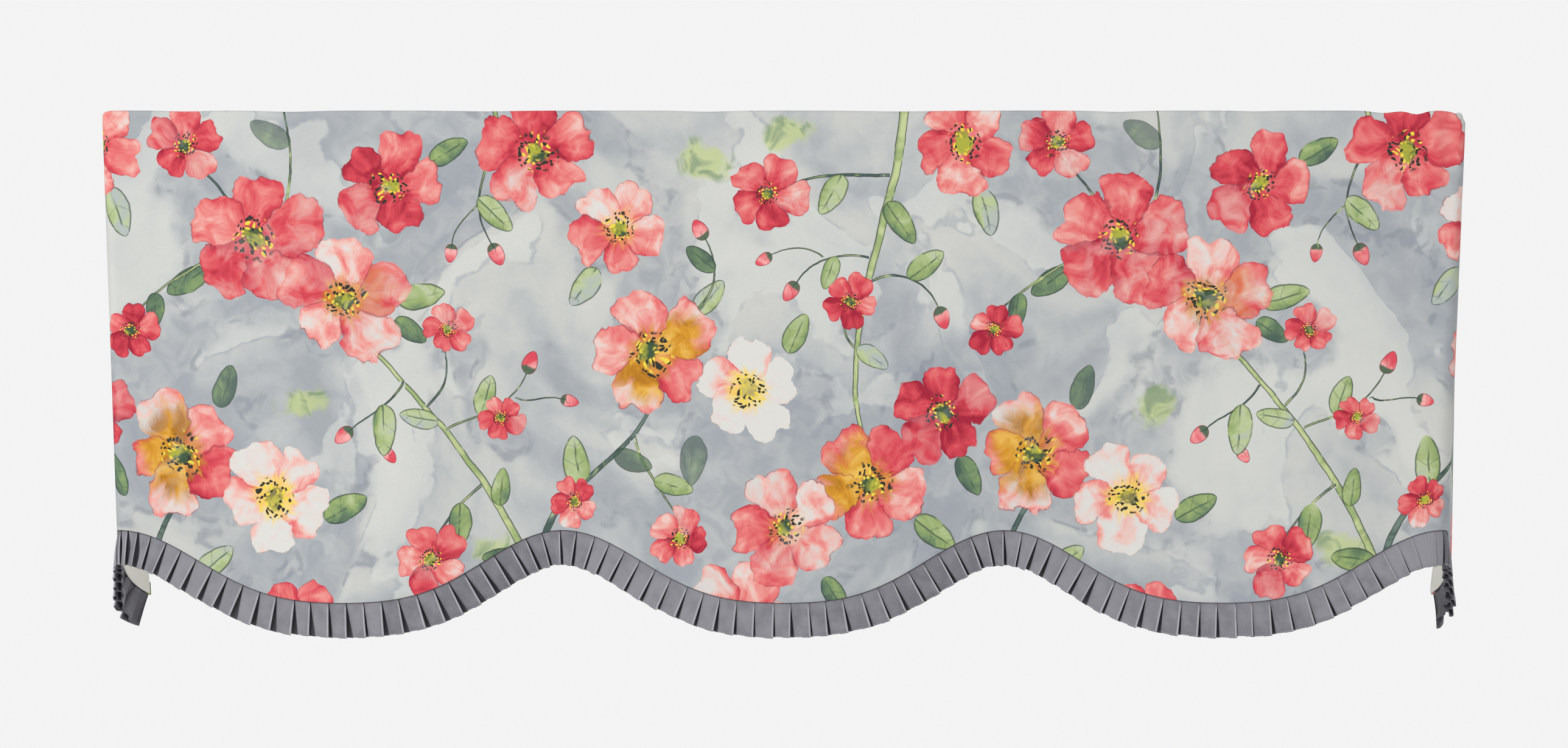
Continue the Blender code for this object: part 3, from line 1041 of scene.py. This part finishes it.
# %% The ground
def ground_wash(flat, hand, blots):
    big = clouds(flat, 6.5, 3.0, 0.55, 0.6)
    wash, _, _ = stored(flat.tree, "wash")
    colour = graded(
        big[0] + (blots[1] - 0.5) * 0.18,
        (0.30, (158, 162, 166)),
        (0.43, (178, 181, 181)),
        (0.52, (191, 192, 188)),
        (0.64, (198, 198, 192)),
        (0.80, (205, 205, 199)),
    )
    pool = big[2] + (hand[1] - 0.5) * 0.16
    pool_rim = band(pool, 0.525, 0.535, 0.012) * soft(blots[0], 0.40, 0.62)
    slate = wash * 0.34 + big[1] * 1.1 + (hand[2] - 0.5) * 0.18
    slate_rim = band(slate, 0.93, 0.95, 0.03) * soft(blots[1], 0.45, 0.65)
    return coated(
        colour,
        ((206, 207, 201), soft(pool, 0.53, 0.55) * 0.55),
        ((158, 163, 170), pool_rim * 0.5),
        ((150, 155, 162), soft(slate, 0.84, 1.02) * (0.45 + soft(blots[2], 0.25, 0.75) * 0.4)),
        ((114, 121, 134), slate_rim * 0.45),
    )


# %% The stems
def stem_wash(below, hand, blots):
    across, half, dark = stored(below.tree, "stem")
    across = across + (hand[0] - 0.5) * 0.0034
    inside = half - abs(across)
    young = painted((150, 170, 108), (190, 199, 142), soft(blots[0], 0.36, 0.62))
    old = painted((60, 82, 76), (104, 124, 112), soft(blots[0], 0.42, 0.66))
    colour = coated(
        young,
        (old, soft(dark + (blots[2] - 0.5) * 1.5, 0.38, 0.66)),
        ((70, 92, 70), soft(across / half, 0.10, 0.95) * 0.55),
        ((44, 58, 54), soft(inside, 0.0014, 0.0006) * soft(blots[1], 0.30, 0.46) * 0.9),
    )
    return painted(below, colour, soft(inside, 0.0, 0.0005) * 0.95)


# %% The leaves, buds and smudges
def leaf_wash(below, name, hand, blots):
    along, across, kind = stored(below.tree, name)
    along = along + (hand[1] - 0.5) * 0.14
    across = across + (hand[0] - 0.5) * 0.40
    bud = kind > 1.0
    smudge = kind > 2.0
    tone = kind - bud - smudge
    width = root(larger(along * (4.0 - along * 4.0), 0.0)) * (1.14 - along * 0.38)
    inside = width - abs(across)

    colour = graded(
        tone + (blots[2] - 0.5) * 0.9 + soft(across, -0.2, 0.9) * 0.25,
        (0.00, (172, 180, 174)),
        (0.24, (180, 193, 144)),
        (0.50, (146, 166, 102)),
        (0.75, (104, 130, 92)),
        (1.00, (66, 90, 76)),
    )
    vein = soft(abs(across - 0.12 + along * 0.1), 0.10, 0.03) * soft(along, 0.97, 0.70)
    side_veins = soft(worked("PINGPONG", along * 2.6 - abs(across) * 0.5, 0.5), 0.07, 0.02)
    petal = painted((243, 168, 164), (214, 62, 80), soft(blots[0] + along * 0.5, 0.52, 0.96))
    petal = painted(petal, (74, 96, 72), soft(along + (blots[2] - 0.5) * 0.3, 0.34, 0.24))
    rim = soft(inside, 0.22, 0.08) * soft(blots[1], 0.28, 0.46)
    colour = coated(
        colour,
        ((58, 82, 62), larger(vein, side_veins * 0.45) * soft(blots[1], 0.36, 0.56) * 0.8),
        (petal, bud),
        (painted((46, 62, 54), (136, 50, 62), bud), rim * 0.85),
        (painted((186, 198, 130), (120, 146, 92), soft(blots[0], 0.46, 0.66)), smudge),
    )
    middle = along * 2.0 - 1.0
    loose = 1.0 - root(middle * middle + across * across) + (hand[2] - 0.5) * 1.7 + (blots[0] - 0.5)
    cover = soft(inside, 0.0, 0.08) * (1.0 - smudge) + soft(loose, 0.02, 0.62) * 0.78 * smudge
    return painted(below, colour, cover * (0.96 - soft(tone, 0.80, 0.95) * 0.35))


# %% The blossoms
PETALS = 5


def chance_by(petal, seed):
    """Three numbers by lot for each petal of each blossom."""
    lot = node_in(petal.tree, "TexWhiteNoise", {"Vector": together(petal, seed)}, noise_dimensions="2D")
    return parts(Tone(lot.outputs["Color"]))


def bloom_wash(below, name, hand, blots):
    x, y, kind = stored(below.tree, name)
    x = x + (hand[0] - 0.5) * 0.36 + (blots[1] - 0.5) * 0.16
    y = y + (hand[1] - 0.5) * 0.36 + (blots[2] - 0.5) * 0.16
    golden = kind > 1.0
    tone = kind - golden
    reach = root(x * x + y * y)
    turn = worked("ARCTAN2", y, x) / (2 * pi) + 0.5
    sector = turn * PETALS + (reach - 0.5) * 0.26
    petal = worked("FLOORED_MODULO", worked("FLOOR", sector), PETALS)
    side = worked("FRACT", sector) - 0.5
    longer, deeper, chosen = chance_by(petal, worked("ROUND", kind * 100))

    lobe = abs(side) * 2
    rim = (longer * 0.24 + 0.86) * (1.0 - worked("POWER", lobe, 3.8) * 0.32) - soft(lobe, 0.34, 0.0) * 0.06
    inside = rim - reach
    streaks = clouds(together(turn * 30, reach * 1.8), 1.0, 2.0)

    heart = soft(reach, 0.66, 0.10)
    edge = soft(inside, 0.10, 0.01)
    under = soft(side, 0.18, 0.5) * soft(reach, 0.12, 0.40)
    depth = tone + (deeper - 0.5) * 0.40 + (blots[0] - 0.5) * 0.85 + (streaks[0] - 0.5) * 0.34
    colour = graded(
        depth + heart * 0.14 + edge * 0.10 + under * 0.24 - soft(reach, 0.55, 0.95) * 0.06,
        (0.00, (214, 212, 206)),
        (0.16, (219, 206, 200)),
        (0.28, (230, 185, 175)),
        (0.41, (229, 149, 141)),
        (0.56, (223, 112, 111)),
        (0.76, (208, 68, 80)),
        (1.00, (160, 28, 52)),
    )

    gold = graded(blots[2], (0.32, (172, 112, 22)), (0.52, (208, 146, 40)), (0.70, (226, 178, 84)))
    laid = soft(chosen, 0.70, 0.72) * soft(reach + (streaks[1] - 0.5) * 0.5, 0.92, 0.50)
    ring = soft(reach + (streaks[1] - 0.5) * 0.4, 0.46, 0.24)
    fold = soft(abs(side), 0.455, 0.49) * soft(reach, 0.16, 0.34) * soft(blots[1], 0.34, 0.50)
    ink = band(inside, 0.006, 0.022, 0.012) * soft(blots[1], 0.46, 0.56)
    eye = soft(reach + (streaks[2] - 0.5) * 0.12, 0.20, 0.13)
    green = painted((168, 168, 60), (62, 84, 58), soft(blots[2], 0.40, 0.58))
    sockets = {"Vector": together(x, y), "Scale": 12.0}
    specks = node_in(below.tree, "TexVoronoi", sockets, voronoi_dimensions="2D")
    lot, _, _ = parts(Tone(specks.outputs["Color"]))
    anther = painted((232, 206, 70), (46, 48, 40), soft(lot, 0.38, 0.42))
    dots = soft(Tone(specks.outputs["Distance"]), 0.40, 0.26) * band(reach, 0.13, 0.30, 0.06)
    colour = coated(
        colour,
        (gold, golden * larger(laid, ring * 0.75)),
        ((238, 206, 92), (1.0 - golden) * ring * soft(tone, 0.45, 0.20) * 0.8),
        ((150, 44, 62), fold * soft(tone, 0.02, 0.30) * 0.55),
        (painted((150, 140, 132), (126, 44, 58), soft(tone, 0.10, 0.35)), ink * 0.8),
        (green, eye * soft(tone, 0.0, 0.10)),
        (anther, dots),
    )
    watery = 1.0 - soft(longer, 0.72, 0.76) * soft(blots[0], 0.62, 0.44) * 0.16
    return painted(below, colour, soft(inside, 0.0, 0.03) * watery)


# %% The printed cotton
PRINT_THREADS, RIBBON_THREADS, LINING_THREADS = 1900, 2400, 1700  # to the metre, both ways


def printed(name, greens, blooms):
    """The finish of the faces that greens reach or not, and as many layers of blossoms as this."""
    material, shader, flat = cloth_material(name, roughness=0.82, sheen=0.08)
    hand = clouds(flat, 30, 3.0, 0.55)
    blots = clouds(flat, 52, 3.0, 0.55, 0.5)
    colour = ground_wash(flat, hand, blots)
    if greens:
        colour = leaf_wash(colour, "leaf_behind", hand, blots)
        colour = stem_wash(colour, hand, blots)
        colour = leaf_wash(colour, "leaf", hand, blots)
    if blooms == 2:
        colour = bloom_wash(colour, "bloom_behind", hand, blots)
    if blooms:
        colour = bloom_wash(colour, "bloom", hand, blots)
    join(colour, shader.inputs["Base Color"])
    bumped(shader, plain_weave(flat, PRINT_THREADS), distance=0.00012, strength=0.35)
    return material


greens_reach = reached["leaf_behind"] | reached["stem"] | reached["leaf"]
layers_of_blooms = reached["bloom"].astype(int) + reached["bloom_behind"]
finish_of_face = np.zeros(len(cloth_places), dtype=np.int32)
PRINTS = (
    ("print_ground", False, 0),
    ("print_greens", True, 0),
    ("print_blossom", False, 1),
    ("print_blossoms", False, 2),
    ("print_everything", True, 2),
)
for index, (name, greens, blooms) in enumerate(PRINTS):
    face.data.materials.append(printed(name, greens, blooms))
    takes = (greens_reach == greens) & (layers_of_blooms == blooms)
    if greens and blooms:
        takes = greens_reach & (layers_of_blooms > 0)
    finish_of_face[takes] = index
    print(f"{name}: {len(face.data.materials[-1].node_tree.nodes)} nodes, on {takes.mean():.0%} of the faces")
face.data.polygons.foreach_set("material_index", finish_of_face)

# %% [markdown]
# ## The ribbon and the lining
#
# The ribbon is a closely woven grey cotton with a low sheen. Where a pleat is pressed, its fold has a painted
# highlight, its lower edge is painted lighter as a painted highlight, and between two pleats there is painted
# shade.
# Each pleat is painted lighter or darker by its stored painted light, and along the seam the ribbon has painted
# shade under the face's hem. The back of the ribbon has no such folds in sight, so it is a plainer finish of its
# own, painted darker below the seam as painted shade. The lining is a plain cream cotton.


# %% The ribbon's finish
def ribbon_finish(name, folded):
    material, shader, flat = cloth_material(name, roughness=0.62, sheen=0.20)
    _, down, _ = parts(flat)
    patches = clouds(flat, 70, 2.0)
    threads = clouds(flat, 900, 1.0)
    if folded:
        # light is each point's painted highlight, shade its painted shade, and tone its pleat's painted light
        light, shade, tone = stored(flat.tree, "fold")
        # each pleat painted lighter or darker by its painted light, with real random patches of colour
        colour = painted((102, 100, 107), (139, 137, 143), soft(tone + (patches[0] - 0.5) * 0.9, 0.0, 1.0))
        coats = (
            # a painted highlight along the lower edge
            ((166, 164, 170), soft(down, TRIM_WIDTH - 0.0018, TRIM_WIDTH - 0.0002) * 0.5),
            # a painted highlight on the pressed folds, stronger lower down
            ((184, 182, 188), soft(light, 0.15, 0.9) * soft(down, 0.0008, 0.005) * (0.62 + down * 12)),
            # painted shade in the gaps between pleats and on the layers behind
            ((44, 42, 48), soft(shade, 0.15, 0.9) * 0.88),
        )
    else:
        colour = painted((117, 115, 121), (129, 127, 133), soft(patches[0], 0.30, 0.70))
        # painted shade: the back is painted darker below the seam
        coats = [((84, 82, 88), soft(down, 0.0, 0.004) * 0.45)]
    thread_coat = ((142, 140, 146), soft(threads[0], 0.45, 0.75) * 0.35)
    # painted shade along the seam, under the face's hem
    seam_shade_coat = ((80, 78, 84), soft(down, 0.0016, 0.0002) * 0.75)
    join(coated(colour, thread_coat, *coats, seam_shade_coat), shader.inputs["Base Color"])
    bumped(shader, plain_weave(flat, RIBBON_THREADS) + patches[1], distance=0.00010, strength=0.4)
    return material


# %% The lining's finish
def lining_finish():
    material, shader, flat = cloth_material("cream_lining", roughness=0.9, sheen=0.1)
    patches = clouds(flat, 16, 3.0)
    threads = clouds(flat, 700, 1.0)
    colour = painted((242, 239, 230), (246, 244, 237), soft(patches[0], 0.3, 0.7))
    join(painted(colour, (224, 219, 206), soft(threads[0], 0.5, 0.8) * 0.3), shader.inputs["Base Color"])
    bumped(shader, plain_weave(flat, LINING_THREADS), distance=0.00015, strength=0.5)
    return material


trim.data.materials.append(ribbon_finish("grey_ribbon", folded=True))
trim.data.materials.append(ribbon_finish("grey_ribbon_back", folded=False))
lining.data.materials.append(lining_finish())

# %% [markdown]
# ## Stage, light and camera
#
# A valance has nothing under it, so the floor lies far below and only gives a pale ground in the views from above.
# One large lamp to the left makes the folds stand out, a wider and weaker one fills the shadows, and a third
# lights the back. The sky lights the cloth softly, but the camera sees it as a plain pale backdrop, through a
# Light Path node. The camera stands five metres off with a long lens, so that the two returns are seen almost
# end on and the straight top edge stays straight.

# %% The floor
FLOOR_LEVEL = -2.1
FLOOR_SIZE = 26.0

bm = bmesh.new()
bmesh.ops.create_grid(bm, x_segments=1, y_segments=1, size=FLOOR_SIZE / 2)
bmesh.ops.translate(bm, verts=bm.verts, vec=(0, 0, FLOOR_LEVEL))
floor_mesh = bpy.data.meshes.new("floor")
bm.to_mesh(floor_mesh)
bm.free()
pale_floor, _ = material_of("pale_floor", {"Base Color": (0.88, 0.88, 0.87, 1.0), "Roughness": 0.7})
floor_mesh.materials.append(pale_floor)
in_scene("floor", floor_mesh)

# %% The lamps, the sky and the camera
CAMERA_DISTANCE = 5.0
CAMERA_LEVEL = -0.19
SHARE_OF_PICTURE = 0.87

Lamp = namedtuple("Lamp", "name place size watts")
LAMPS = (
    Lamp("key", (-3.0, -3.2, 1.5), 1.8, 122.0),
    Lamp("fill", (2.6, -4.0, 0.4), 3.0, 44.0),
    Lamp("back", (1.0, 3.0, 1.2), 2.4, 45.0),
)


def aimed(thing, place, target):
    thing.location = place
    thing.rotation_euler = (Vector(target) - Vector(place)).to_track_quat("-Z", "Y").to_euler()


middle = (cad_low + cad_high) / 2
for lamp in LAMPS:
    light = bpy.data.lights.new(lamp.name, "AREA")
    light.size = lamp.size
    light.energy = lamp.watts
    aimed(in_scene(lamp.name, light), lamp.place, middle)

world = bpy.data.worlds.new("studio")
world.use_nodes = True
bpy.context.scene.world = world
sky = world.node_tree
lights_cloth = fill(sky.nodes["Background"], {"Color": (0.95, 0.97, 1.0, 1.0), "Strength": 0.56})
backdrop = node_in(sky, "Background", {"Color": (0.90, 0.90, 0.90, 1.0), "Strength": 1.0})
seen = Tone(node_in(sky, "LightPath").outputs["Is Camera Ray"])
sockets = {0: seen, 1: Tone(lights_cloth.outputs[0]), 2: Tone(backdrop.outputs[0])}
join(Tone(node_in(sky, "MixShader", sockets).outputs[0]), sky.nodes["World Output"].inputs["Surface"])

lens = bpy.data.cameras.new("camera")
lens.lens = lens.sensor_width * CAMERA_DISTANCE * SHARE_OF_PICTURE / FRONT_WIDTH
lens.clip_end = 60
camera = in_scene("camera", lens)
aimed(camera, (middle.x, -CAMERA_DISTANCE, CAMERA_LEVEL), (middle.x, 0, middle.z))
bpy.context.scene.camera = camera
bpy.context.scene.view_settings.view_transform = "Standard"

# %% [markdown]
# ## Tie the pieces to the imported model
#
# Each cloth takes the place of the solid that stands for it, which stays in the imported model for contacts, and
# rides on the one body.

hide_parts("face_panel")
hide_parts("lining")
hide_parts("pleated_trim")
for piece, slot in ((face, "print_cloth"), (lining, "lining_cloth"), (trim, "trim_ribbon")):
    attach(piece, "root")
